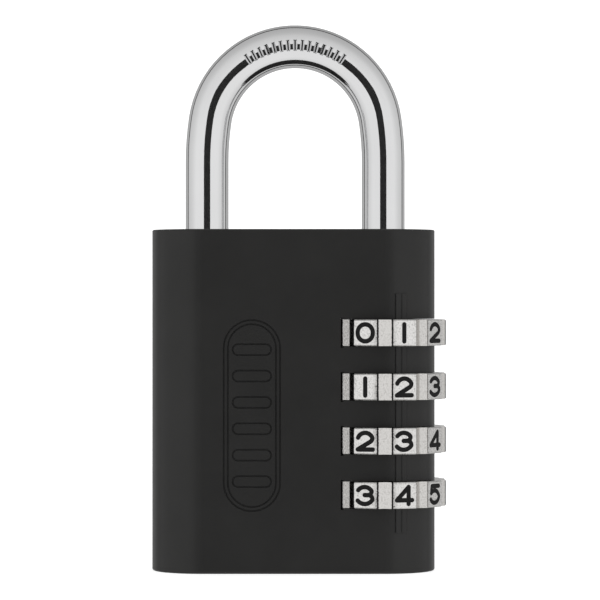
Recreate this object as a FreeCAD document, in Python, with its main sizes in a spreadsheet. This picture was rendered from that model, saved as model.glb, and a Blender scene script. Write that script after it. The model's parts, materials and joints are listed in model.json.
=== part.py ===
"""Padlock with four number wheels, as an assembly of separate pieces.

The frame is +Z up with the origin at the centre of the flat bottom of the lock body.
The front of the lock faces -Y, and +X is on the side of the number wheels.
Every length is in millimetres.
"""
import FreeCAD, Part
import math
import os

import Sketcher
from FreeCAD import Placement, Rotation, Vector

WHEEL_COUNT = 4
DIGIT_COUNT = 10
STEP_ANGLE = 360.0 / DIGIT_COUNT

# Driving dimensions: they become cells of the sheet, and every piece is bound to them.
DIMENSIONS = {
    # lock body
    "body_width": 50.0,
    "body_depth": 18.0,
    "body_height": 60.2,
    "bottom_edge_radius": 0.4,
    "top_edge_radius": 0.25,
    # shackle, a round bar bent to an arch that narrows slightly above straight legs
    "bar_radius": 3.8,
    "heel_x": 15.9,
    "toe_x": -15.3,
    "toe_depth": 7.5,
    "toe_chamfer": 0.7,
    "straight_leg_top": 72.2,
    "flank_radius": 51.1,
    "flank_angle": 8.4,
    "leg_clearance": 0.08,
    "toe_clearance": 0.2,
    # heel of the shackle, turned down below a shoulder, with one fin for each sleeve
    "heel_shoulder": 45.5,
    "spindle_radius": 2.7,
    "spindle_bottom": 7.0,
    "spindle_bore_radius": 1.85,
    "spindle_bore_depth": 9.2,
    "fin_reach": 3.6,
    "fin_width": 2.2,
    "fin_height": 2.4,
    "fin_drop": 5.1,
    "lift_flat_depth": 1.1,
    "lift_flat_bottom": 46.7,
    "lift_flat_top": 58.3,
    "turning_groove_height": 2.2,
    # pin that stops the lift
    "pin_radius": 1.0,
    "pin_z": 57.2,
    "pin_hole_depth": 13.0,
    "pin_recess": 0.3,
    # number wheels
    "wheel_pitch": 9.43,
    "lowest_wheel_z": 13.8,
    "wheel_height": 4.6,
    "wheel_flat_radius": 11.0,
    "wheel_chamfer": 0.18,
    "digit_flat_width": 4.42,
    "valley_step": 0.16,
    "valley_radius": 10.4,
    "wheel_bore_radius": 5.36,
    "spline_notch_radius": 6.0,
    "spline_notch_width": 1.4,
    "spline_notch_height": 1.45,
    # digits
    "digit_width": 2.74,
    "digit_height": 2.95,
    "digit_stroke": 0.8,
    "engraving_depth": 0.3,
    "paint_thickness": 0.22,
    # windows of the body, and the recess of each click spring
    "window_radius": 11.8,
    "window_height": 4.8,
    "window_rim_radius": 11.35,
    "window_rim_height": 5.25,
    "click_recess_back": 2.4,
    "click_recess_front": 6.0,
    "click_recess_width": 10.4,
    "click_recess_height": 4.4,
    # click springs, bowed strips
    "click_crown_x": 4.58,
    "click_bow": 1.75,
    "click_span": 10.0,
    "click_thickness": 0.3,
    "click_height": 4.0,
    # code sleeves
    "sleeve_radius": 5.3,
    "sleeve_below": 6.5,
    "sleeve_above": 2.83,
    "lip_below": 0.3,
    "lip_bore_radius": 2.85,
    "skirt_bore_radius": 4.1,
    "gate_radius": 4.0,
    "gate_width": 2.6,
    "tooth_radius": 5.9,
    "tooth_width": 1.15,
    "tooth_drop": 2.35,
    "tooth_height": 1.3,
    # bore of the body for the sleeves
    "code_bore_radius": 6.05,
    "code_bore_top": 45.1,
    # reset washer, springs and plug below the sleeves
    "washer_radius": 5.95,
    "washer_bottom": 6.3,
    "washer_thickness": 0.95,
    "plug_radius": 6.45,
    "plug_recess_radius": 6.5,
    "plug_recess_depth": 1.8,
    "plug_inset": 0.15,
    "plug_slot_width": 1.2,
    "plug_slot_length": 7.0,
    "plug_slot_depth": 0.6,
    "spring_gap": 0.05,
    "sleeve_spring_radius": 4.9,
    "sleeve_spring_wire": 0.6,
    "sleeve_spring_turns": 2.5,
    "shackle_spring_radius": 1.4,
    "shackle_spring_wire": 0.5,
    "shackle_spring_turns": 13.0,
    # index bar beside the code, at the angle of the digits that are read
    "index_width": 2.2,
    "index_relief": 0.2,
    "index_bevel": 0.18,
    "index_line_depth": 0.14,
    "index_foot_depth": 0.33,
    "index_bottom": 7.2,
    "index_top": 48.9,
    # two engraved oval lines, one inside the other, with a column of outlined ribs inside
    "oval_x": -7.23,
    "oval_bottom": 11.0,
    "oval_top": 44.3,
    "oval_width": 9.82,
    "oval_band": 0.72,
    "line_width": 0.3,
    "line_depth": 0.3,
    "rib_width": 7.0,
    "rib_height": 2.2,
    "rib_pitch": 4.6,
    "rib_count": 6,
    # stamped ticks on the front of the arch
    "tick_count": 15,
    "tick_spread": 66.0,
    "tick_length": 2.2,
    "tick_width": 0.8,
    "tick_depth": 0.36,
    "tick_slope": 40.0,
}

# Digits as strokes of a round-ended cutter. A stroke is a start point and its steps: a step of one
# point is a straight cut to it, and a step of two points is an arc through the first to the second.
# Both coordinates run from -1 to 1 over the digit's width and height.
OVAL_LEFT = [(0.0, 1.0), [(-0.71, 0.72), (-1.0, 0.08)], [(-1.0, -0.08)], [(-0.71, -0.72), (0.0, -1.0)]]
OVAL_RIGHT = [(0.0, 1.0), [(0.71, 0.72), (1.0, 0.08)], [(1.0, -0.08)], [(0.71, -0.72), (0.0, -1.0)]]
SIX_BOWL = [[(-0.86, -0.31), [(0.0, 0.42), (0.86, -0.31)]], [(-0.86, -0.31), [(0.0, -1.0), (0.86, -0.31)]]]
SIX_STEM = [(-0.86, -0.31), [(-0.53, 0.58), (0.55, 0.98)]]
EIGHT_TOP = [[(-0.6, 0.51), [(0.0, 1.0), (0.6, 0.51)]], [(-0.6, 0.51), [(0.0, 0.03), (0.6, 0.51)]]]
EIGHT_BASE = [[(-0.75, -0.46), [(0.0, 0.03), (0.75, -0.46)]], [(-0.75, -0.46), [(0.0, -1.0), (0.75, -0.46)]]]
DIGIT_STROKES = {
    0: [OVAL_LEFT, OVAL_RIGHT],
    1: [[(0.0, 1.0), [(0.0, -1.0)]]],
    2: [[(-0.95, 0.42), [(0.0, 1.0), (0.95, 0.42)], [(0.87, 0.13), (0.62, -0.08)],
         [(-1.0, -0.97)], [(1.0, -0.97)]]],
    3: [[(-0.93, 0.62), [(-0.06, 1.0), (0.84, 0.55)], [(0.76, 0.25), (0.36, 0.05)], [(-0.08, 0.05)]],
        [(0.36, 0.05), [(0.86, -0.16), (0.95, -0.5)], [(0.05, -1.0), (-1.0, -0.62)]]],
    4: [[(0.58, 1.0), [(-1.0, -0.56)], [(1.05, -0.56)]], [(0.58, 1.0), [(0.58, -1.0)]]],
    5: [[(0.86, 0.97), [(-0.72, 0.97)], [(-0.86, 0.14)], [(0.25, 0.38), (0.92, -0.31)],
         [(0.08, -1.0), (-0.96, -0.6)]]],
    6: SIX_BOWL + [SIX_STEM],
    7: [[(-0.95, 0.97), [(0.95, 0.97)], [(-0.25, -1.0)]]],
    8: EIGHT_TOP + EIGHT_BASE,
}
DIGIT_STROKES[9] = [
    [tuple(-value for value in stroke[0])]
    + [[tuple(-value for value in point) for point in step] for step in stroke[1:]]
    for stroke in DIGIT_STROKES[6]
]

doc = FreeCAD.newDocument("padlock")


# ---------------------------------------------------------------- sheet and small helpers

def make_sheet():
    """Write the driving dimensions into a spreadsheet, one aliased cell each."""
    cells = doc.addObject("Spreadsheet::Sheet", "dims")
    for row, (name, value) in enumerate(DIMENSIONS.items(), start=1):
        cells.set("A%d" % row, name)
        cells.set("B%d" % row, str(value))
        cells.setAlias("B%d" % row, name)
    doc.recompute()
    return cells


sheet = make_sheet()


def size(name):
    """Value of one cell of the sheet, for shapes that Part's own functions make."""
    return float(sheet.get(name))


def bind(thing, **expressions):
    """Bind properties of an object to expressions of the sheet; __ stands for a dot."""
    for name, expression in expressions.items():
        thing.setExpression(name.replace("__", "."), expression)


def new_body(label):
    body = doc.addObject("PartDesign::Body", label)
    body.Label = label
    return body


def new_sketch(body, name, plane, **offsets):
    """Sketch on one of the body's own origin planes; offsets bind its AttachmentOffset."""
    sketch = body.newObject("Sketcher::SketchObject", name)
    support = [item for item in body.Origin.OriginFeatures if item.Role == plane + "_Plane"]
    sketch.AttachmentSupport = [(support[0], "")]
    sketch.MapMode = "FlatFace"
    bind(sketch, **{"AttachmentOffset__Base__" + axis: text for axis, text in offsets.items()})
    return sketch


def value_of(sketch, expression):
    return float(sketch.evalExpression(expression))


def fix_point(sketch, geometry, corner, x, y):
    """Bind one point of a sketch to a pair of expressions."""
    for kind, expression, axis in (("DistanceX", x, -2), ("DistanceY", y, -1)):
        value = value_of(sketch, expression)
        if abs(value) < 1e-9:
            sketch.addConstraint(Sketcher.Constraint("PointOnObject", geometry, corner, axis))
        else:
            index = sketch.addConstraint(Sketcher.Constraint(kind, -1, 1, geometry, corner, value))
            sketch.setExpression("Constraints[%d]" % index, expression)


def add_polygon(sketch, corners):
    """Closed outline through corners, each a pair of expressions."""
    points = [Vector(value_of(sketch, x), value_of(sketch, y), 0) for x, y in corners]
    first = sketch.GeometryCount
    for index, point in enumerate(points):
        sketch.addGeometry(Part.LineSegment(point, points[(index + 1) % len(points)]))
    for index, (x, y) in enumerate(corners):
        following = first + (index + 1) % len(points)
        sketch.addConstraint(Sketcher.Constraint("Coincident", first + index, 2, following, 1))
        fix_point(sketch, first + index, 1, x, y)


def add_rectangle(sketch, low_x, high_x, low_y, high_y):
    add_polygon(sketch, [(low_x, low_y), (high_x, low_y), (high_x, high_y), (low_x, high_y)])


def add_circle(sketch, x, y, radius):
    centre = Vector(value_of(sketch, x), value_of(sketch, y), 0)
    circle = sketch.addGeometry(Part.Circle(centre, Vector(0, 0, 1), value_of(sketch, radius)))
    fix_point(sketch, circle, 3, x, y)
    index = sketch.addConstraint(Sketcher.Constraint("Radius", circle, value_of(sketch, radius)))
    sketch.setExpression("Constraints[%d]" % index, radius)


def add_slot(sketch, first, second, radius):
    """Stadium outline: two half circles about the centres first and second, joined by lines."""
    centres = [Vector(value_of(sketch, x), value_of(sketch, y), 0) for x, y in (first, second)]
    along = (centres[1] - centres[0]).normalize()
    turn = math.atan2(along.y, along.x)
    reach = value_of(sketch, radius)
    circles = [Part.Circle(centre, Vector(0, 0, 1), reach) for centre in centres]
    quarter = math.pi / 2
    start_arc = sketch.addGeometry(Part.ArcOfCircle(circles[0], turn + quarter, turn + 3 * quarter))
    end_arc = sketch.addGeometry(Part.ArcOfCircle(circles[1], turn - quarter, turn + quarter))
    side = Vector(-along.y, along.x, 0) * reach
    low_line = sketch.addGeometry(Part.LineSegment(centres[0] - side, centres[1] - side))
    high_line = sketch.addGeometry(Part.LineSegment(centres[1] + side, centres[0] + side))
    for line, line_end, arc, arc_end in (
        (low_line, 1, start_arc, 2),
        (low_line, 2, end_arc, 1),
        (high_line, 1, end_arc, 2),
        (high_line, 2, start_arc, 1),
    ):
        sketch.addConstraint(Sketcher.Constraint("Tangent", line, line_end, arc, arc_end))
    fix_point(sketch, start_arc, 3, *first)
    fix_point(sketch, end_arc, 3, *second)
    index = sketch.addConstraint(Sketcher.Constraint("Radius", start_arc, reach))
    sketch.setExpression("Constraints[%d]" % index, radius)


def volume_after(body):
    doc.recompute()
    return body.Shape.Volume


def pad(body, sketch, length):
    feature = body.newObject("PartDesign::Pad", sketch.Name + "_pad")
    feature.Profile = sketch
    bind(feature, Length=length)
    doc.recompute()
    return feature


def cut(body, kind, sketch, is_reversed=False, **expressions):
    """Pocket or Groove, which has to take material away."""
    before = volume_after(body)
    feature = body.newObject("PartDesign::" + kind, sketch.Name + "_cut")
    feature.Profile = sketch
    feature.Reversed = is_reversed
    if kind == "Groove":
        feature.ReferenceAxis = (sketch, ["V_Axis"])
        feature.Angle = 360.0
    bind(feature, **expressions)
    if volume_after(body) > before - 1e-6:
        raise RuntimeError("%s of %s cuts nothing" % (kind, body.Label))
    return feature


def revolve(body, sketch):
    feature = body.newObject("PartDesign::Revolution", sketch.Name + "_turned")
    feature.Profile = sketch
    feature.ReferenceAxis = (sketch, ["V_Axis"])
    feature.Angle = 360.0
    doc.recompute()
    return feature


def repeat_in_line(body, feature, axis, count, spacing):
    """Linear pattern of a feature: count copies, spacing apart, along an axis of the sketch."""
    pattern = body.newObject("PartDesign::LinearPattern", feature.Name + "_row")
    pattern.Originals = [feature]
    pattern.Direction = (feature.Profile[0], [axis])
    bind(pattern, Occurrences=count, Length="(%s - 1) * %s" % (count, spacing))
    body.Tip = pattern
    doc.recompute()
    return pattern


def repeat_around(body, feature, count, angle="360"):
    """Polar pattern of a feature about the normal of its sketch, through the sketch's origin."""
    pattern = body.newObject("PartDesign::PolarPattern", feature.Name + "_ring")
    pattern.Originals = [feature]
    pattern.Axis = (feature.Profile[0], ["N_Axis"])
    bind(pattern, Occurrences=count, Angle=angle)
    body.Tip = pattern
    doc.recompute()
    return pattern


def edges_at_height(shape, height):
    """Names of the edges that lie wholly at one height."""
    names = []
    for number, edge in enumerate(shape.Edges, start=1):
        box = edge.BoundBox
        if abs(box.ZMin - height) < 1e-4 and abs(box.ZMax - height) < 1e-4:
            names.append("Edge%d" % number)
    return names


def dress(body, kind, base, edges, **expressions):
    """Fillet or Chamfer of named edges of a feature."""
    feature = body.newObject("PartDesign::" + kind, "%s_%s" % (base.Name, kind.lower()))
    feature.Base = (base, edges)
    bind(feature, **expressions)
    doc.recompute()
    return feature


def wheel_height_above_base(number):
    """Expression for the height of the middle of wheel 1 (the top one) to 4 (the lowest)."""
    return "dims.lowest_wheel_z + %d * dims.wheel_pitch" % (WHEEL_COUNT - number)


def place_on_wheel_axis(piece, height):
    bind(piece, Placement__Base__x="dims.heel_x", Placement__Base__z=height)


# ---------------------------------------------------------------- lock body

def make_lock_body():
    body = new_body("lock_body")
    outline = new_sketch(body, "body_outline", "XY")
    end = "(dims.body_width - dims.body_depth) / 2"
    add_slot(outline, ("-" + end, "0"), (end, "0"), "dims.body_depth / 2")
    block = pad(body, outline, "dims.body_height")
    bottom = dress(body, "Fillet", block, edges_at_height(block.Shape, 0.0),
                   Radius="dims.bottom_edge_radius")
    dress(body, "Fillet", bottom, edges_at_height(bottom.Shape, size("body_height")),
          Radius="dims.top_edge_radius")
    add_index_bar(body, end)
    engrave_ovals(body)
    cut_wheel_windows(body)
    cut_shackle_bores(body)
    return body


def add_index_bar(body, end):
    """Low bar with a line down its middle and one at its foot, up the round end beside the code."""
    def across_the_end(name):
        """Sketch with its Y axis on the line of the digits that are read, front side down."""
        sketch = new_sketch(body, name, "XY", x=end, z="dims.index_bottom")
        bind(sketch, AttachmentOffset__Rotation__Angle=str(STEP_ANGLE / 2))
        return sketch

    front = "-(dims.body_depth / 2 + dims.index_relief)"
    half = "dims.index_width / 2"
    height = "dims.index_top - dims.index_bottom"
    bar = across_the_end("index_bar")
    add_polygon(bar, [
        ("-" + half, front),
        (half + " - dims.index_bevel", front),
        (half, front + " + dims.index_bevel"),
        (half, front + " + 1"),
        ("-" + half, front + " + 1"),
    ])
    pad(body, bar, height)
    for name, middle, depth in (("index_line", "0", "dims.index_line_depth"),
                                ("index_foot", "-" + half, "dims.index_foot_depth")):
        line = across_the_end(name)
        add_rectangle(line, middle + " - dims.line_width / 2", middle + " + dims.line_width / 2",
                      front + " - 1", "%s + %s" % (front, depth))
        cut(body, "Pocket", line, True, Length=height)


def engrave_ovals(body):
    """Two oval lines on the left of the front face, and a column of outlined ribs in them."""
    ovals = new_sketch(body, "ovals", "XZ", z="dims.body_depth / 2")
    for inset in ("0", "dims.oval_band"):
        half = "(dims.oval_width / 2 - %s)" % inset
        low = ("dims.oval_x", "dims.oval_bottom + %s + %s" % (inset, half))
        high = ("dims.oval_x", "dims.oval_top - %s - %s" % (inset, half))
        add_slot(ovals, low, high, half + " + dims.line_width / 2")
        add_slot(ovals, low, high, half + " - dims.line_width / 2")
    cut(body, "Pocket", ovals, False, Length="dims.line_depth")

    rib = new_sketch(body, "rib", "XZ", z="dims.body_depth / 2")
    middle = "(dims.oval_bottom + dims.oval_top) / 2"
    lowest = "(%s - (dims.rib_count - 1) / 2 * dims.rib_pitch)" % middle
    flat = "(dims.rib_width - dims.rib_height) / 2"
    ends = (("dims.oval_x - " + flat, lowest), ("dims.oval_x + " + flat, lowest))
    add_slot(rib, *ends, "dims.rib_height / 2")
    add_slot(rib, *ends, "dims.rib_height / 2 - dims.line_width")
    outline = cut(body, "Pocket", rib, False, Length="dims.line_depth")
    repeat_in_line(body, outline, "V_Axis", "dims.rib_count", "dims.rib_pitch")


def cut_wheel_windows(body):
    """A round window for each wheel, higher at its rim, and a recess for the click spring."""
    window = new_sketch(body, "window", "XY", z="dims.lowest_wheel_z - dims.window_height / 2")
    add_circle(window, "dims.heel_x", "0", "dims.window_radius")
    opening = cut(body, "Pocket", window, True, Length="dims.window_height")
    repeat_in_line(body, opening, "N_Axis", str(WHEEL_COUNT), "dims.wheel_pitch")

    rim = new_sketch(body, "window_rim", "XY", z="dims.lowest_wheel_z - dims.window_rim_height / 2")
    for radius in ("dims.window_radius", "dims.window_rim_radius"):
        add_circle(rim, "dims.heel_x", "0", radius)
    relief = cut(body, "Pocket", rim, True, Length="dims.window_rim_height")
    repeat_in_line(body, relief, "N_Axis", str(WHEEL_COUNT), "dims.wheel_pitch")

    recess = new_sketch(body, "click_recess", "XY",
                        z="dims.lowest_wheel_z - dims.click_recess_height / 2")
    add_rectangle(recess, "dims.click_recess_back", "dims.click_recess_front",
                  "-dims.click_recess_width / 2", "dims.click_recess_width / 2")
    seat = cut(body, "Pocket", recess, True, Length="dims.click_recess_height")
    repeat_in_line(body, seat, "N_Axis", str(WHEEL_COUNT), "dims.wheel_pitch")


def cut_shackle_bores(body):
    """Bores for the sleeves, the two legs, the plug and the pin."""
    bores = (
        ("code_bore", "dims.heel_x", "dims.code_bore_radius", "dims.code_bore_top"),
        ("heel_bore", "dims.heel_x", "dims.bar_radius + dims.leg_clearance", "dims.body_height"),
        ("plug_recess", "dims.heel_x", "dims.plug_recess_radius", "dims.plug_recess_depth"),
    )
    for name, x, radius, depth in bores:
        sketch = new_sketch(body, name, "XY")
        add_circle(sketch, x, "0", radius)
        cut(body, "Pocket", sketch, True, Length=depth)

    toe = new_sketch(body, "toe_bore", "XY", z="dims.body_height")
    add_circle(toe, "dims.toe_x", "0", "dims.bar_radius + dims.toe_clearance")
    cut(body, "Pocket", toe, False, Length="dims.toe_depth + 1")

    pin = new_sketch(body, "pin_hole", "XZ", z="-dims.body_depth / 2")
    add_circle(pin, "dims.heel_x - dims.bar_radius", "dims.pin_z", "dims.pin_radius")
    cut(body, "Pocket", pin, True, Length="dims.pin_hole_depth")


# ---------------------------------------------------------------- shackle

def make_shackle():
    body = new_body("shackle")
    route = draw_arch(body)
    bar = new_sketch(body, "bar_section", "XY", z="dims.body_height - dims.toe_depth")
    add_circle(bar, "dims.toe_x", "0", "dims.bar_radius")
    arch = body.newObject("PartDesign::AdditivePipe", "arch")
    arch.Profile = bar
    arch.Spine = (route, ["Edge%d" % (index + 1) for index in range(5)])
    doc.recompute()
    toe_end = size("body_height") - size("toe_depth")
    dress(body, "Chamfer", arch, edges_at_height(arch.Shape, toe_end), Size="dims.toe_chamfer")
    turn_down_heel(body)
    cut_lift_flat(body)
    stamp_ticks(body)
    return body


def draw_arch(body):
    """Centre line of the bar: leg, flank arc, top arc, flank arc and leg."""
    sketch = new_sketch(body, "arch_route", "XZ")
    middle = (size("heel_x") + size("toe_x")) / 2
    half_span = (size("heel_x") - size("toe_x")) / 2
    angle = math.radians(size("flank_angle"))
    flank = size("flank_radius")
    base = size("straight_leg_top")
    inset = half_span - flank
    corner_x = inset + flank * math.cos(angle)
    corner_z = base + flank * math.sin(angle)
    top_radius = corner_x / math.cos(angle)
    top_z = corner_z - top_radius * math.sin(angle)
    toe_end = size("body_height") - size("toe_depth")
    shoulder = size("heel_shoulder")

    def arc(centre_x, centre_z, radius, start, end):
        circle = Part.Circle(Vector(centre_x, centre_z, 0), Vector(0, 0, 1), radius)
        return sketch.addGeometry(Part.ArcOfCircle(circle, start, end))

    def line(x, low, high):
        return sketch.addGeometry(Part.LineSegment(Vector(x, low, 0), Vector(x, high, 0)))

    toe_leg = line(size("toe_x"), toe_end, base)
    toe_flank = arc(middle - inset, base, flank, math.pi - angle, math.pi)
    top = arc(middle, top_z, top_radius, angle, math.pi - angle)
    heel_flank = arc(middle + inset, base, flank, 0, angle)
    heel_leg = line(size("heel_x"), shoulder, base)
    for first, first_end, second, second_end in (
        (toe_leg, 2, toe_flank, 2),
        (toe_flank, 1, top, 2),
        (top, 1, heel_flank, 2),
        (heel_flank, 1, heel_leg, 2),
    ):
        sketch.addConstraint(Sketcher.Constraint("Tangent", first, first_end, second, second_end))
    fix_point(sketch, toe_leg, 1, "dims.toe_x", "dims.body_height - dims.toe_depth")
    fix_point(sketch, heel_leg, 1, "dims.heel_x", "dims.heel_shoulder")
    for leg in (toe_leg, heel_leg):
        sketch.addConstraint(Sketcher.Constraint("Vertical", leg))
    index = sketch.addConstraint(Sketcher.Constraint("DistanceY", -1, 1, toe_leg, 2, base))
    sketch.setExpression("Constraints[%d]" % index, "dims.straight_leg_top")
    for arc_index in (toe_flank, heel_flank):
        index = sketch.addConstraint(Sketcher.Constraint("Radius", arc_index, flank))
        sketch.setExpression("Constraints[%d]" % index, "dims.flank_radius")
    index = sketch.addConstraint(Sketcher.Constraint("Radius", top, top_radius))
    sketch.setExpression(
        "Constraints[%d]" % index,
        "((dims.heel_x - dims.toe_x) / 2 - dims.flank_radius) / cos(dims.flank_angle * 1 deg)"
        " + dims.flank_radius",
    )
    doc.recompute()
    return sketch


def turn_down_heel(body):
    """Thin spindle below the shoulder, its four fins and the bore for the lifting spring."""
    spindle = new_sketch(body, "spindle", "XY", z="dims.spindle_bottom")
    add_circle(spindle, "dims.heel_x", "0", "dims.spindle_radius")
    pad(body, spindle, "dims.heel_shoulder - dims.spindle_bottom")

    fin = new_sketch(body, "fin", "XY", z="dims.lowest_wheel_z - dims.fin_drop")
    add_rectangle(fin, "dims.heel_x - dims.fin_reach", "dims.heel_x - dims.spindle_radius / 2",
                  "-dims.fin_width / 2", "dims.fin_width / 2")
    lowest = pad(body, fin, "dims.fin_height")
    repeat_in_line(body, lowest, "N_Axis", str(WHEEL_COUNT), "dims.wheel_pitch")

    bore = new_sketch(body, "spring_bore", "XY", z="dims.spindle_bottom")
    add_circle(bore, "dims.heel_x", "0", "dims.spindle_bore_radius")
    cut(body, "Pocket", bore, True, Length="dims.spindle_bore_depth")


def cut_lift_flat(body):
    """Flat that slides past the pin, ending in a groove all round where the lift stops."""
    flat = new_sketch(body, "lift_flat", "XY", z="dims.lift_flat_bottom")
    add_rectangle(flat, "dims.heel_x - dims.bar_radius - 1",
                  "dims.heel_x - dims.bar_radius + dims.lift_flat_depth",
                  "-dims.bar_radius", "dims.bar_radius")
    cut(body, "Pocket", flat, True, Length="dims.lift_flat_top - dims.lift_flat_bottom")

    groove = new_sketch(body, "turning_groove", "XZ", x="dims.heel_x")
    add_rectangle(groove, "dims.bar_radius - dims.lift_flat_depth", "dims.bar_radius + 1",
                  "dims.lift_flat_bottom", "dims.lift_flat_bottom + dims.turning_groove_height")
    cut(body, "Groove", groove)


def stamp_ticks(body):
    """Row of plain ticks round the front of the arch, stamped with sloping sides."""
    middle = "(dims.heel_x + dims.toe_x) / 2"
    sketch = new_sketch(body, "tick", "XZ", x=middle, y="dims.straight_leg_top"
                        " + dims.flank_radius * sin(dims.flank_angle * 1 deg)"
                        " - (%s) * sin(dims.flank_angle * 1 deg)" % top_radius_expression(),
                        z="dims.bar_radius")
    bind(sketch, AttachmentOffset__Rotation__Angle="-dims.tick_spread / 2")
    half = "dims.tick_length / 2"
    add_rectangle(sketch, "-dims.tick_width / 2", "dims.tick_width / 2",
                  "%s - %s" % (top_radius_expression(), half),
                  "%s + %s" % (top_radius_expression(), half))
    tick = cut(body, "Pocket", sketch, False, Length="dims.tick_depth",
               TaperAngle="-dims.tick_slope")
    repeat_around(body, tick, "dims.tick_count", "dims.tick_spread")


def top_radius_expression():
    """Radius of the arch's top arc, which meets both flank arcs in tangency."""
    return ("(((dims.heel_x - dims.toe_x) / 2 - dims.flank_radius)"
            " / cos(dims.flank_angle * 1 deg) + dims.flank_radius)")


# ---------------------------------------------------------------- number wheels and digits

def make_wheel_blank(number):
    """Ten-sided wheel with a shallow valley between faces, a bore and ten spline notches."""
    body = new_body("wheel_blank_%d" % number)
    outline = new_sketch(body, "wheel_outline", "XY", z="-dims.wheel_height / 2")
    corner = "dims.wheel_flat_radius / cos(%s deg)" % (STEP_ANGLE / 2)
    corners = []
    for index in range(DIGIT_COUNT):
        angle = "%s deg" % (STEP_ANGLE * index)
        corners.append(("%s * sin(%s)" % (corner, angle), "-%s * cos(%s)" % (corner, angle)))
    add_polygon(outline, corners)
    blank = pad(body, outline, "dims.wheel_height")
    half = size("wheel_height") / 2
    edges = edges_at_height(blank.Shape, half) + edges_at_height(blank.Shape, -half)
    dress(body, "Chamfer", blank, edges, Size="dims.wheel_chamfer")
    cut_valleys(body)

    bore = new_sketch(body, "wheel_bore", "XY", z="-dims.wheel_height / 2")
    add_circle(bore, "0", "0", "dims.wheel_bore_radius")
    cut(body, "Pocket", bore, True, Length="dims.wheel_height")

    notch = new_sketch(body, "spline_notch", "XY", z="-dims.wheel_height / 2")
    add_rectangle(notch, "dims.wheel_bore_radius - 0.5", "dims.spline_notch_radius",
                  "-dims.spline_notch_width / 2", "dims.spline_notch_width / 2")
    first = cut(body, "Pocket", notch, True, Length="dims.spline_notch_height")
    repeat_around(body, first, str(DIGIT_COUNT))
    return body


def cut_valleys(body):
    """Shallow V with a small step at each side, between every two digit faces."""
    valley = new_sketch(body, "valley", "XY", z="-dims.wheel_height / 2")
    half_step = "%s deg" % (STEP_ANGLE / 2)
    # the edge of a digit face, turned from the face's own direction into the valley's
    edge_x = ("(dims.wheel_flat_radius * sin(%s) - dims.digit_flat_width / 2 * cos(%s))"
              % (half_step, half_step))
    edge_y = ("(dims.wheel_flat_radius * cos(%s) + dims.digit_flat_width / 2 * sin(%s))"
              % (half_step, half_step))
    step_x = "(%s - dims.valley_step * sin(%s))" % (edge_x, half_step)
    step_y = "(%s - dims.valley_step * cos(%s))" % (edge_y, half_step)
    outer = "dims.wheel_flat_radius + 2"
    add_polygon(valley, [
        (edge_x, "-(%s)" % outer),
        (edge_x, "-" + edge_y),
        (step_x, "-" + step_y),
        ("0", "-dims.valley_radius"),
        ("-" + step_x, "-" + step_y),
        ("-" + edge_x, "-" + edge_y),
        ("-" + edge_x, "-(%s)" % outer),
    ])
    first = cut(body, "Pocket", valley, True, Length="dims.wheel_height")
    repeat_around(body, first, str(DIGIT_COUNT))


def stroke_face(stroke):
    """Flat face that a round-ended cutter covers along one stroke."""
    half_width, half_height = size("digit_width") / 2, size("digit_height") / 2
    reach = size("digit_stroke") / 2

    def at(point):
        return Vector(point[0] * half_width, point[1] * half_height, 0)

    steps = stroke[1:]
    here = at(stroke[0])
    if len(steps) == 1 and len(steps[0]) == 1:
        return straight_stroke_face(here, at(steps[0][0]), reach)
    edges = []
    for step in steps:
        end = at(step[-1])
        if len(step) == 1:
            edges.append(Part.LineSegment(here, end).toShape())
        else:
            edges.append(Part.Arc(here, at(step[0]), end).toShape())
        here = end
    return Part.Wire(edges).makeOffset2D(reach, join=0, fill=True, openResult=False)


def straight_stroke_face(start, end, reach):
    along = (end - start).normalize() * reach
    side = Vector(-along.y, along.x, 0)
    edges = [
        Part.LineSegment(start + side, end + side),
        Part.Arc(end + side, end + along, end - side),
        Part.LineSegment(end - side, start - side),
        Part.Arc(start - side, start - along, start + side),
    ]
    return Part.Face(Part.Wire([edge.toShape() for edge in edges]))


def digit_solid(digit, thickness):
    """One digit as a solid on the XY plane."""
    parts = [stroke_face(stroke).extrude(Vector(0, 0, thickness)) for stroke in DIGIT_STROKES[digit]]
    solid = parts[0].multiFuse(parts[1:]).removeSplitter() if len(parts) > 1 else parts[0]
    return solid


def digits_round_wheel(thickness, depth):
    """All ten digits on the faces of a wheel, their backs at depth below the face."""
    solids = []
    for digit in range(DIGIT_COUNT):
        angle = STEP_ANGLE * (digit + 0.5)
        radius = size("wheel_flat_radius") - depth
        direction = Rotation(Vector(0, 0, 1), angle)
        solid = digit_solid(digit, thickness)
        solid.Placement = Placement(direction.multVec(Vector(0, -radius, 0)),
                                    direction.multiply(Rotation(Vector(1, 0, 0), 90)))
        solids += solid.Solids
    return Part.makeCompound(solids)


def wheel_turn(number):
    """Turn of a wheel about its axis that brings its own number beside the index bar."""
    return Rotation(Vector(0, 0, 1), -STEP_ANGLE * number)


def make_wheel(number):
    blank = make_wheel_blank(number)
    engraving = doc.addObject("Part::Feature", "engraving_%d" % number)
    depth = size("engraving_depth")
    engraving.Shape = digits_round_wheel(2 * depth, depth)
    wheel = doc.addObject("Part::Cut", "number_wheel_%d" % number)
    wheel.Label = "number_wheel_%d" % number
    wheel.Base = blank
    wheel.Tool = engraving
    wheel.Placement = Placement(Vector(0, 0, 0), wheel_turn(number))
    place_on_wheel_axis(wheel, wheel_height_above_base(number))
    return wheel


def make_digit_paint(number):
    """Paint that fills the engraved digits of one wheel, a little below its faces."""
    paint = doc.addObject("Part::Feature", "digit_paint_%d" % number)
    paint.Label = "digit_paint_%d" % number
    paint.Shape = digits_round_wheel(size("paint_thickness"), size("engraving_depth"))
    paint.Placement = Placement(Vector(0, 0, 0), wheel_turn(number))
    place_on_wheel_axis(paint, wheel_height_above_base(number))
    return paint


# ---------------------------------------------------------------- code sleeves

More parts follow.
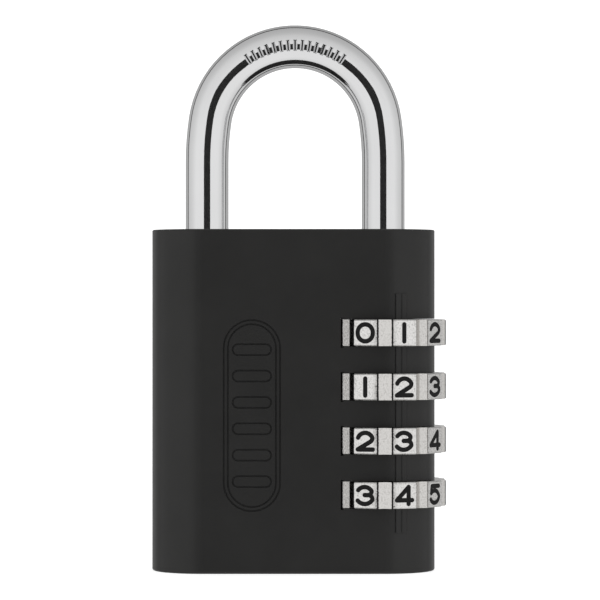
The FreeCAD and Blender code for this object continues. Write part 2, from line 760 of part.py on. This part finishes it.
def make_code_sleeve(number):
    """Sleeve with a gated lip above an open skirt, and ten teeth that drive it with the wheel."""
    body = new_body("code_sleeve_%d" % number)
    profile = new_sketch(body, "sleeve_profile", "XZ")
    add_polygon(profile, [
        ("dims.lip_bore_radius", "-dims.lip_below"),
        ("dims.skirt_bore_radius", "-dims.lip_below"),
        ("dims.skirt_bore_radius", "-dims.sleeve_below"),
        ("dims.sleeve_radius", "-dims.sleeve_below"),
        ("dims.sleeve_radius", "dims.sleeve_above"),
        ("dims.lip_bore_radius", "dims.sleeve_above"),
    ])
    revolve(body, profile)

    tooth = new_sketch(body, "tooth", "XY", z="-dims.tooth_drop")
    add_rectangle(tooth, "dims.sleeve_radius - 0.5", "dims.tooth_radius",
                  "-dims.tooth_width / 2", "dims.tooth_width / 2")
    first = pad(body, tooth, "dims.tooth_height")
    repeat_around(body, first, str(DIGIT_COUNT))

    gate = new_sketch(body, "gate", "XY", z="-dims.lip_below")
    add_rectangle(gate, "-dims.gate_radius", "-dims.lip_bore_radius / 2",
                  "-dims.gate_width / 2", "dims.gate_width / 2")
    cut(body, "Pocket", gate, True, Length="dims.lip_below + dims.sleeve_above")
    place_on_wheel_axis(body, wheel_height_above_base(number))
    return body


# ---------------------------------------------------------------- springs, washer, plug and pin

def make_click_spring(number):
    """Bowed strip whose crown presses on the wheel's faces."""
    body = new_body("click_spring_%d" % number)
    sketch = new_sketch(body, "click_profile", "XY", z="-dims.click_height / 2")
    crown, bow, half = size("click_crown_x"), size("click_bow"), size("click_span") / 2
    thickness = size("click_thickness")
    outer_radius = (half ** 2 + bow ** 2) / (2 * bow)
    inner_radius = outer_radius - thickness
    centre = Vector(crown - outer_radius, 0, 0)
    spread = math.asin(half / outer_radius)
    arcs = []
    for radius in (inner_radius, outer_radius):
        circle = Part.Circle(centre, Vector(0, 0, 1), radius)
        arcs.append(sketch.addGeometry(Part.ArcOfCircle(circle, -spread, spread)))
    for end, sign in ((1, -1), (2, 1)):
        direction = Vector(math.cos(sign * spread), math.sin(sign * spread), 0)
        line = sketch.addGeometry(Part.LineSegment(centre + direction * inner_radius,
                                                   centre + direction * outer_radius))
        sketch.addConstraint(Sketcher.Constraint("Coincident", line, 1, arcs[0], end))
        sketch.addConstraint(Sketcher.Constraint("Coincident", line, 2, arcs[1], end))
        sketch.addConstraint(Sketcher.Constraint("Perpendicular", line, arcs[1]))
    radius_text = ("((dims.click_span / 2) ^ 2 + dims.click_bow ^ 2) / (2 * dims.click_bow)")
    centre_text = "dims.click_crown_x - " + radius_text
    fix_point(sketch, arcs[0], 3, centre_text, "0")
    fix_point(sketch, arcs[1], 3, centre_text, "0")
    for arc, text in ((arcs[0], radius_text + " - dims.click_thickness"), (arcs[1], radius_text)):
        index = sketch.addConstraint(Sketcher.Constraint("Radius", arc, value_of(sketch, text)))
        sketch.setExpression("Constraints[%d]" % index, text)
    for end, sign in ((1, "-"), (2, "")):
        text = sign + "dims.click_span / 2"
        index = sketch.addConstraint(
            Sketcher.Constraint("DistanceY", -1, 1, arcs[1], end, value_of(sketch, text)))
        sketch.setExpression("Constraints[%d]" % index, text)
    pad(body, sketch, "dims.click_height")
    bind(body, Placement__Base__z=wheel_height_above_base(number))
    return body


def make_coil_spring(label, radius, wire, turns, low, high):
    """Coil spring about the wheels' axis, from a low to a high end, given as expressions."""
    body = new_body(label)
    sketch = new_sketch(body, label + "_wire", "XZ")
    add_circle(sketch, radius, wire + " / 2", wire + " / 2")
    coil = body.newObject("PartDesign::AdditiveHelix", label + "_coil")
    coil.Profile = sketch
    coil.ReferenceAxis = (sketch, ["V_Axis"])
    coil.Mode = "height-turns-angle"
    bind(coil, Height="%s - (%s) - %s" % (high, low, wire), Turns=turns)
    place_on_wheel_axis(body, low)
    return body


def make_springs():
    low = "dims.plug_recess_depth + dims.spring_gap"
    sleeve_spring = make_coil_spring(
        "sleeve_spring", "dims.sleeve_spring_radius", "dims.sleeve_spring_wire",
        "dims.sleeve_spring_turns", low, "dims.washer_bottom - dims.spring_gap")
    shackle_spring = make_coil_spring(
        "shackle_spring", "dims.shackle_spring_radius", "dims.shackle_spring_wire",
        "dims.shackle_spring_turns", low,
        "dims.spindle_bottom + dims.spindle_bore_depth - dims.spring_gap")
    return [sleeve_spring, shackle_spring]


def make_disc(name, radius, thickness):
    disc = doc.addObject("Part::Cylinder", name)
    bind(disc, Radius=radius, Height=thickness)
    return disc


def make_reset_washer():
    """Ring under the lowest sleeve, which carries the stack."""
    washer = doc.addObject("Part::Cut", "reset_washer")
    washer.Label = "reset_washer"
    washer.Base = make_disc("washer_blank", "dims.washer_radius", "dims.washer_thickness")
    washer.Tool = make_disc("washer_bore", "dims.lip_bore_radius", "dims.washer_thickness")
    place_on_wheel_axis(washer, "dims.washer_bottom")
    return washer


def make_bottom_plug():
    """Disc pressed into the bottom of the bore, with an assembly slot across its outer face."""
    slot = doc.addObject("Part::Box", "plug_slot")
    bind(slot, Length="dims.plug_slot_length", Width="dims.plug_slot_width",
         Height="dims.plug_slot_depth", Placement__Base__x="-dims.plug_slot_length / 2",
         Placement__Base__y="-dims.plug_slot_width / 2")
    plug = doc.addObject("Part::Cut", "bottom_plug")
    plug.Label = "bottom_plug"
    plug.Base = make_disc("plug_blank", "dims.plug_radius",
                          "dims.plug_recess_depth - dims.plug_inset")
    plug.Tool = slot
    place_on_wheel_axis(plug, "dims.plug_inset")
    return plug


def make_heel_pin():
    """Pin across the inner side of the heel leg, pushed in from the back of the body."""
    pin = make_disc("heel_pin", "dims.pin_radius",
                    "dims.pin_hole_depth - 2 * dims.pin_recess")
    pin.Label = "heel_pin"
    pin.Placement = Placement(Vector(0, 0, 0), Rotation(Vector(1, 0, 0), 90))
    bind(pin, Placement__Base__x="dims.heel_x - dims.bar_radius",
         Placement__Base__y="dims.body_depth / 2 - dims.pin_recess", Placement__Base__z="dims.pin_z")
    return pin


# ---------------------------------------------------------------- assembly and export

def make_all_pieces():
    pieces = [make_lock_body(), make_shackle()]
    for number in range(1, WHEEL_COUNT + 1):
        pieces.append(make_wheel(number))
        pieces.append(make_digit_paint(number))
        pieces.append(make_code_sleeve(number))
        pieces.append(make_click_spring(number))
    pieces += make_springs()
    pieces += [make_reset_washer(), make_bottom_plug(), make_heel_pin()]
    doc.recompute()
    return pieces


def check_document(pieces):
    """Stop if any object failed to compute or any piece has no sound shape."""
    for item in doc.Objects:
        if "Invalid" in item.State or "Error" in item.State:
            raise RuntimeError("%s failed: %s" % (item.Name, item.State))
    for piece in pieces:
        if piece.Shape.isNull() or not piece.Shape.isValid():
            raise RuntimeError("%s has no valid shape" % piece.Label)


def export_pieces(pieces):
    os.makedirs("parts", exist_ok=True)
    for piece in pieces:
        piece.Shape.exportStep("parts/%s.step" % piece.Label)
        box = piece.Shape.BoundBox
        print("%-18s %d solid(s)  volume %9.2f mm3  z %6.2f to %6.2f" % (
            piece.Label, len(piece.Shape.Solids), piece.Shape.Volume, box.ZMin, box.ZMax))


all_pieces = make_all_pieces()
check_document(all_pieces)
export_pieces(all_pieces)
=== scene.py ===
"""Looks of the padlock: materials for every piece, soft studio light and the camera."""

import json
import math

import bpy
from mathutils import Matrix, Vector


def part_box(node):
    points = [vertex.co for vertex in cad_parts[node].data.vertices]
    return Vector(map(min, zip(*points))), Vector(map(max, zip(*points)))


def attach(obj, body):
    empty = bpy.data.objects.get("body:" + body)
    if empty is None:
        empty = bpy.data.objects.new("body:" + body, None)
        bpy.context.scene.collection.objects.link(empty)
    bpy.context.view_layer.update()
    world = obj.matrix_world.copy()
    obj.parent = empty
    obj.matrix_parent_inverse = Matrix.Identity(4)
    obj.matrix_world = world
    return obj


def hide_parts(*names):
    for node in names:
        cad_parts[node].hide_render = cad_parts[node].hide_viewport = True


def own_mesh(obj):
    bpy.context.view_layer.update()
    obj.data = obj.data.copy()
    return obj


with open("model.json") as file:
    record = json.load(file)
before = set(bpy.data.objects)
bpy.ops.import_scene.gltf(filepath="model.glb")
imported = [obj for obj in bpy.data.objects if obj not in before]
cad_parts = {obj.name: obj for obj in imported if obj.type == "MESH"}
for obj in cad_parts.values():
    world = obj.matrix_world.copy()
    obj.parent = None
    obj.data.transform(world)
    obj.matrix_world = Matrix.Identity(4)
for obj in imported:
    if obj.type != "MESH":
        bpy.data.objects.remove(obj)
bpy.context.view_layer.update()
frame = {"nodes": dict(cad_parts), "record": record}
scene = bpy.context.scene
nodes = frame["nodes"]

MICRON = 0.000001

# the wheels: their axis, from the frame, and the angles of their faces and valleys
washer_low, washer_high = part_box("reset_washer")
WHEEL_AXIS_X = (washer_low.x + washer_high.x) / 2
DIGIT_STEP = math.radians(36)
VALLEY_HALF_ANGLE = math.radians(6.64)

# the middle of the picture, and how far the camera stands in front of it
VIEW_CENTRE = Vector((0.00116, 0, 0.0478))
CAMERA_DISTANCE = 0.566


# ---------------------------------------------------------------- node helpers

class Tree:
    """A node tree, with short calls for the nodes that this script uses."""

    def __init__(self, tree):
        self.tree = tree

    def node(self, kind, **settings):
        item = self.tree.nodes.new(kind)
        for key, value in settings.items():
            setattr(item, key, value)
        return item

    def link(self, source, target):
        self.tree.links.new(source, target)

    def parts(self, vector):
        """The X, Y and Z of a vector."""
        item = self.node("ShaderNodeSeparateXYZ")
        self.link(vector, item.inputs["Vector"])
        return [item.outputs[axis] for axis in "XYZ"]

    def ramp(self, source, stops):
        """Colour ramp; stops are pairs of position and grey level or colour."""
        item = self.node("ShaderNodeValToRGB")
        elements = item.color_ramp.elements
        while len(elements) < len(stops):
            elements.new(0.5)
        for element, (position, colour) in zip(elements, stops):
            element.position = position
            if not hasattr(colour, "__len__"):
                colour = (colour, colour, colour)
            element.color = (*colour, 1.0)
        self.link(source, item.inputs["Fac"])
        return item.outputs["Color"]

    def remap(self, source, low, high, from_low=0.0, from_high=1.0):
        """The source, from its own span to low and high, and held there beyond it."""
        item = self.node("ShaderNodeMapRange")
        for name, value in (("From Min", from_low), ("From Max", from_high),
                            ("To Min", low), ("To Max", high)):
            item.inputs[name].default_value = value
        self.link(source, item.inputs["Value"])
        return item.outputs["Result"]

    def math(self, operation, *values):
        """Result of a math node; the values are numbers or other nodes' outputs."""
        item = self.node("ShaderNodeMath", operation=operation)
        for slot, value in enumerate(values):
            if isinstance(value, (int, float)):
                item.inputs[slot].default_value = value
            else:
                self.link(value, item.inputs[slot])
        return item.outputs["Value"]

    def mix(self, factor, first, second):
        """Mix of two colours by a factor."""
        item = self.node("ShaderNodeMix", data_type="RGBA")
        self.link(factor, item.inputs["Factor"])
        for slot, value in (("A", first), ("B", second)):
            target = [s for s in item.inputs if s.name == slot and s.type == "RGBA"][0]
            if hasattr(value, "__len__"):
                target.default_value = (*value, 1.0)
            else:
                self.link(value, target)
        return [s for s in item.outputs if s.type == "RGBA"][0]


class Shader(Tree):
    """A material's node tree, with calls for its shader and for textures that stick to the piece."""

    def __init__(self, name):
        self.material = bpy.data.materials.new(name)
        self.material.use_nodes = True
        super().__init__(self.material.node_tree)
        self.bsdf = self.tree.nodes["Principled BSDF"]

    def set(self, **values):
        for name, value in values.items():
            self.bsdf.inputs[name.replace("_", " ")].default_value = value

    def place(self, scale=(1, 1, 1)):
        """Object coordinates in metres, multiplied by scale."""
        where = self.node("ShaderNodeTexCoord")
        mapping = self.node("ShaderNodeMapping")
        mapping.inputs["Scale"].default_value = scale
        self.link(where.outputs["Object"], mapping.inputs["Vector"])
        return mapping.outputs["Vector"]

    def noise(self, scale, detail, roughness=0.5, stretch=(1, 1, 1)):
        texture = self.node("ShaderNodeTexNoise")
        texture.inputs["Scale"].default_value = scale
        texture.inputs["Detail"].default_value = detail
        texture.inputs["Roughness"].default_value = roughness
        self.link(self.place(stretch), texture.inputs["Vector"])
        return texture.outputs["Fac"]

    def colour(self, source):
        self.link(source, self.bsdf.inputs["Base Color"])

    def roughness(self, source):
        self.link(source, self.bsdf.inputs["Roughness"])

    def bump(self, height, distance):
        item = self.node("ShaderNodeBump")
        item.inputs["Distance"].default_value = distance
        self.link(height, item.inputs["Height"])
        self.link(item.outputs["Normal"], self.bsdf.inputs["Normal"])


# ---------------------------------------------------------------- materials

def black_coat():
    """Thin satin black coating, with faint orange peel and slightly uneven gloss."""
    coat = Shader("black_coat")
    coat.set(Metallic=0.0, IOR=1.5, Specular_IOR_Level=0.22)
    coat.colour(coat.ramp(coat.noise(scale=90, detail=3), [(0.3, (0.0174, 0.0172, 0.0168)),
                                                           (0.7, (0.0204, 0.0201, 0.0196))]))
    coat.roughness(coat.remap(coat.noise(scale=420, detail=4), low=0.3, high=0.37))
    coat.bump(coat.noise(scale=2600, detail=3), distance=5 * MICRON)
    return coat.material


def polished_steel():
    """Chrome plate over a drawn bar: mirror bright, with faint drawing lines and hairlines."""
    steel = Shader("polished_steel")
    steel.set(Metallic=1.0)
    steel.colour(steel.ramp(steel.noise(scale=60, detail=3), [(0.3, (0.71, 0.712, 0.715)),
                                                              (0.7, (0.76, 0.76, 0.765))]))
    steel.roughness(steel.remap(steel.noise(scale=900, detail=5), low=0.035, high=0.08))
    steel.bump(steel.noise(scale=1400, detail=4, stretch=(1, 1, 0.2)), distance=1.5 * MICRON)
    return steel.material


def kept_shade_share(nickel, turn, middle, reach):
    """Share of the painted shade that is kept: all of it within reach degrees of the middle."""
    fade, least = 11, 0.1
    away = nickel.math("ABSOLUTE", nickel.math("SUBTRACT", turn, math.radians(middle)))
    return nickel.remap(away, 1.0, least, math.radians(reach), math.radians(reach + fade))


def painted_step_shade(nickel, turn, past_step):
    """Amount of painted shade that darkens the faces beside the steps, most of it round one valley of
    each wheel.
    """
    fade = math.radians(5.0)
    fading = nickel.remap(past_step, 1.0, 0.0, 0.0, fade)
    patches = nickel.remap(nickel.noise(scale=230, detail=2), 0.5, 1.0, 0.36, 0.56)
    return nickel.math("MULTIPLY", nickel.math("MULTIPLY", fading, patches),
                       kept_shade_share(nickel, turn, middle=0, reach=14))


def painted_shade_lines(nickel, turn, side, past_step):
    """Mask of a ragged line of painted shade in each corner of a valley, thick in two of the valleys.
    """
    unevenness = math.radians(0.3)
    half_line = math.radians(0.75)
    # both lines lie a quarter of a degree to the right of their corners, seen from in front
    left_corner = nickel.math("LESS_THAN", side, 0.0)
    to_right = nickel.math("MULTIPLY", nickel.math("SUBTRACT", left_corner, 0.5), math.radians(0.5))
    ragged = nickel.remap(nickel.noise(scale=4200, detail=3), -unevenness, unevenness, 0.25, 0.75)
    off_line = nickel.math("ADD", nickel.math("ADD", past_step, to_right), ragged)
    half_width = nickel.math("MULTIPLY", kept_shade_share(nickel, turn, middle=-18, reach=32), half_line)
    return nickel.math("LESS_THAN", nickel.math("ABSOLUTE", off_line), half_width)


def paint_specks(nickel, step_shade, past_step):
    """Mask of specks of paint on the faces, fewer away from the step and where the painted shade is
    thin.
    """
    spread = math.radians(6.0)
    beside_step = nickel.remap(past_step, 0.53, 0.72, 0.0, spread)
    threshold = nickel.math("ADD", beside_step, nickel.remap(step_shade, 0.14, 0.0, 0.0, 0.8))
    specks = nickel.math("GREATER_THAN", nickel.noise(scale=5600, detail=2), threshold)
    return nickel.math("MULTIPLY", specks, nickel.math("GREATER_THAN", past_step, 0.0))


def wheel_nickel():
    """Matt nickel with the grain of a blasted casting, black paint caught beside its steps, and painted
    shade there too.
    """
    nickel = Shader("wheel_nickel")
    nickel.set(Metallic=1.0)
    # black for the lines of painted shade in the valley corners and for the specks of paint
    shade_and_paint_black = (0.02, 0.02, 0.02)

    # angle round the wheel from straight in front, with a valley at 0
    x, y, _ = nickel.parts(nickel.place())
    turn = nickel.math("ARCTAN2", nickel.math("SUBTRACT", x, WHEEL_AXIS_X),
                       nickel.math("MULTIPLY", y, -1.0))
    # signed angle from the nearest valley's middle, and how far past its step on either side
    side = nickel.math("WRAP", turn, DIGIT_STEP / 2, -DIGIT_STEP / 2)
    past_step = nickel.math("SUBTRACT", nickel.math("ABSOLUTE", side), VALLEY_HALF_ANGLE)
    in_valley = nickel.math("LESS_THAN", past_step, 0.0)

    grain = nickel.noise(scale=3600, detail=6, roughness=0.75)
    face = nickel.ramp(grain, [(0.36, (0.46, 0.45, 0.435)), (0.48, (0.73, 0.72, 0.705)),
                               (0.64, (0.79, 0.78, 0.765))])
    # darker face colour for the painted shade beside the steps
    step_shaded_face = nickel.ramp(grain, [(0.36, (0.26, 0.255, 0.245)), (0.5, (0.45, 0.44, 0.425))])
    # the valleys are coloured darker than the faces
    valley = nickel.ramp(grain, [(0.36, (0.48, 0.465, 0.445)), (0.5, (0.67, 0.655, 0.635))])

    # painted shade: the faces darken beside the steps, mostly round the front valley
    step_shade = painted_step_shade(nickel, turn, past_step)
    metal = nickel.mix(in_valley, nickel.mix(step_shade, face, step_shaded_face), valley)
    # black marks: lines of painted shade in the valley corners, and specks of black paint on the faces
    paint = nickel.math("MAXIMUM", painted_shade_lines(nickel, turn, side, past_step),
                        paint_specks(nickel, step_shade, past_step))
    nickel.colour(nickel.mix(paint, metal, shade_and_paint_black))

    # the milled valleys are smoother than the blasted faces
    uneven = nickel.remap(nickel.noise(scale=3000, detail=4), low=0.14, high=0.26)
    smoother = nickel.math("MULTIPLY", in_valley, -0.05)
    nickel.roughness(nickel.math("ADD", uneven, smoother))
    nickel.bump(grain, distance=16 * MICRON)
    return nickel.material


def digit_enamel():
    """Black paint left in the engraving, slightly uneven."""
    paint = Shader("digit_enamel")
    paint.set(Metallic=0.0, IOR=1.5, Specular_IOR_Level=0.15)
    paint.colour(paint.ramp(paint.noise(scale=3500, detail=4), [(0.35, 0.004), (0.7, 0.009)]))
    paint.roughness(paint.remap(paint.noise(scale=2500, detail=3), low=0.35, high=0.6))
    paint.bump(paint.noise(scale=4000, detail=3), distance=10 * MICRON)
    return paint.material


def sleeve_zinc():
    """Dark passivated zinc, turned, with fine rings round its axis."""
    zinc = Shader("sleeve_zinc")
    zinc.set(Metallic=1.0)
    zinc.colour(zinc.ramp(zinc.noise(scale=300, detail=4), [(0.3, (0.10, 0.10, 0.095)),
                                                            (0.7, (0.16, 0.155, 0.15))]))
    rings = zinc.noise(scale=500, detail=3, stretch=(0.2, 0.2, 14))
    zinc.roughness(zinc.remap(rings, low=0.3, high=0.45))
    zinc.bump(zinc.noise(scale=700, detail=3, stretch=(0.1, 0.1, 10)), distance=4 * MICRON)
    return zinc.material


def spring_steel():
    """Bright drawn wire and strip, lightly oiled."""
    steel = Shader("spring_steel")
    steel.set(Metallic=1.0)
    steel.colour(steel.ramp(steel.noise(scale=600, detail=4), [(0.3, (0.36, 0.36, 0.37)),
                                                               (0.7, (0.52, 0.52, 0.53))]))
    steel.roughness(steel.remap(steel.noise(scale=1200, detail=4), low=0.2, high=0.34))
    steel.bump(steel.noise(scale=1800, detail=3), distance=3 * MICRON)
    return steel.material


def paper(name, level, glow=0.0):
    """Even paper-like surface for the stage, which may glow like a lit backdrop."""
    sheet = Shader(name)
    sheet.colour(sheet.ramp(sheet.noise(scale=4, detail=2), [(0.3, level * 0.995), (0.7, level)]))
    sheet.set(Roughness=0.9, Emission_Color=(1.0, 1.0, 1.0, 1.0), Emission_Strength=glow)
    return sheet.material


# ---------------------------------------------------------------- the lock

def dress(piece, material):
    piece.data.materials.clear()
    piece.data.materials.append(material)


def dress_all_nodes():
    """Give each node the material that its record's slot names."""
    finishes = {
        "black_coat": black_coat(),
        "polished_steel": polished_steel(),
        "wheel_nickel": wheel_nickel(),
        "digit_enamel": digit_enamel(),
        "sleeve_zinc": sleeve_zinc(),
        "spring_steel": spring_steel(),
    }
    for entry in frame["record"]["subparts"]:
        name = entry["material_slot"]
        dress(nodes[entry["node"]], finishes[name])


def make_sleeve_coil():
    """Copy of the sleeve spring on the case, in place of the hidden original; the real spring shortens
    while the sleeves are pressed down for a new code.
    """
    coil = bpy.data.objects.new("sleeve_coil", nodes["sleeve_spring"].data.copy())
    scene.collection.objects.link(coil)
    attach(coil, "case")
    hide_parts("sleeve_spring")
    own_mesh(coil)


# ---------------------------------------------------------------- studio

def make_camera():
    """Camera straight in front of the lock."""
    sensor_mm = 36.0
    view_width = 0.1063
    camera_data = bpy.data.cameras.new("camera")
    camera_data.sensor_width = sensor_mm
    camera_data.lens = sensor_mm * CAMERA_DISTANCE / view_width
    camera_data.clip_start = 0.01
    camera_data.clip_end = 20.0
    camera = bpy.data.objects.new("camera", camera_data)
    camera.location = VIEW_CENTRE + Vector((0, -CAMERA_DISTANCE, 0))
    camera.rotation_euler = (math.radians(90), 0, 0)
    scene.collection.objects.link(camera)
    scene.camera = camera
    scene.view_settings.view_transform = "Standard"


def make_sweep():
    """Pale floor that curves up into a backdrop, as one smooth sheet; reflections don't show it."""
    half_width, front, bend, top = 3.0, -3.0, 1.2, 2.5
    radius = 0.8
    steps = 16
    profile = [(front, 0.0), (bend, 0.0)]
    for index in range(1, steps + 1):
        angle = math.pi / 2 * index / steps
        profile.append((bend + radius * math.sin(angle), radius * (1 - math.cos(angle))))
    profile.append((bend + radius, top))
    vertices = [(x, y, z) for y, z in profile for x in (-half_width, half_width)]
    faces = [(2 * i, 2 * i + 1, 2 * i + 3, 2 * i + 2) for i in range(len(profile) - 1)]
    mesh = bpy.data.meshes.new("sweep")
    mesh.from_pydata(vertices, [], faces)
    for polygon in mesh.polygons:
        polygon.use_smooth = True
    sweep = bpy.data.objects.new("sweep", mesh)
    scene.collection.objects.link(sweep)
    mesh.materials.append(paper("pale_sweep", level=0.6, glow=0.72))
    sweep.visible_glossy = False


def make_flag():
    """Black card behind the camera, seen only in reflections: it darkens what faces the camera."""
    distance, half_width, half_height = 0.62, 0.19, 0.165
    corners = [(-half_width, -half_height), (half_width, -half_height),
               (half_width, half_height), (-half_width, half_height)]
    vertices = [(VIEW_CENTRE.x + x, -distance, VIEW_CENTRE.z + z) for x, z in corners]
    mesh = bpy.data.meshes.new("flag")
    mesh.from_pydata(vertices, [], [(0, 1, 2, 3)])
    flag = bpy.data.objects.new("flag", mesh)
    scene.collection.objects.link(flag)
    mesh.materials.append(paper("black_card", level=0.015))
    flag.visible_camera = False
    flag.visible_diffuse = False
    flag.visible_shadow = False


def make_world():
    """White tent, dimmer overhead and behind the lock, with a thin dark seam; the camera sees white."""
    world = bpy.data.worlds.new("studio")
    world.use_nodes = True
    sky = Tree(world.node_tree)
    where = sky.node("ShaderNodeTexCoord")
    _, to_back, upward = sky.parts(where.outputs["Generated"])

    def graded(direction, stops):
        """Grey level by one part of the direction, -1 to 1; stops are pairs of that part and level."""
        spread = sky.remap(direction, 0.0, 1.0, from_low=-1.0, from_high=1.0)
        return sky.ramp(spread, [((part + 1) / 2, level) for part, level in stops])

    front_to_back = graded(to_back, [(-0.5, 1.0), (-0.1, 0.85), (0.3, 0.76), (0.45, 0.72),
                                     (0.46, 0.03), (0.56, 0.03), (0.57, 0.58), (1.0, 0.46)])
    overhead = graded(upward, [(0.1, 1.0), (0.5, 0.9), (0.95, 0.72)])
    product = sky.node("ShaderNodeVectorMath", operation="MULTIPLY")
    sky.link(front_to_back, product.inputs[0])
    sky.link(overhead, product.inputs[1])

    tent = sky.tree.nodes["Background"]
    tent.inputs["Strength"].default_value = 0.98
    sky.link(product.outputs["Vector"], tent.inputs["Color"])
    plain = sky.node("ShaderNodeBackground")
    plain.inputs["Color"].default_value = (1.0, 1.0, 1.0, 1.0)

    path = sky.node("ShaderNodeLightPath")
    either = sky.node("ShaderNodeMixShader")
    sky.link(path.outputs["Is Camera Ray"], either.inputs["Fac"])
    sky.link(tent.outputs["Background"], either.inputs[1])
    sky.link(plain.outputs["Background"], either.inputs[2])
    sky.link(either.outputs["Shader"], sky.tree.nodes["World Output"].inputs["Surface"])
    scene.world = world


make_camera()
make_sweep()
make_flag()
make_world()
dress_all_nodes()
make_sleeve_coil()
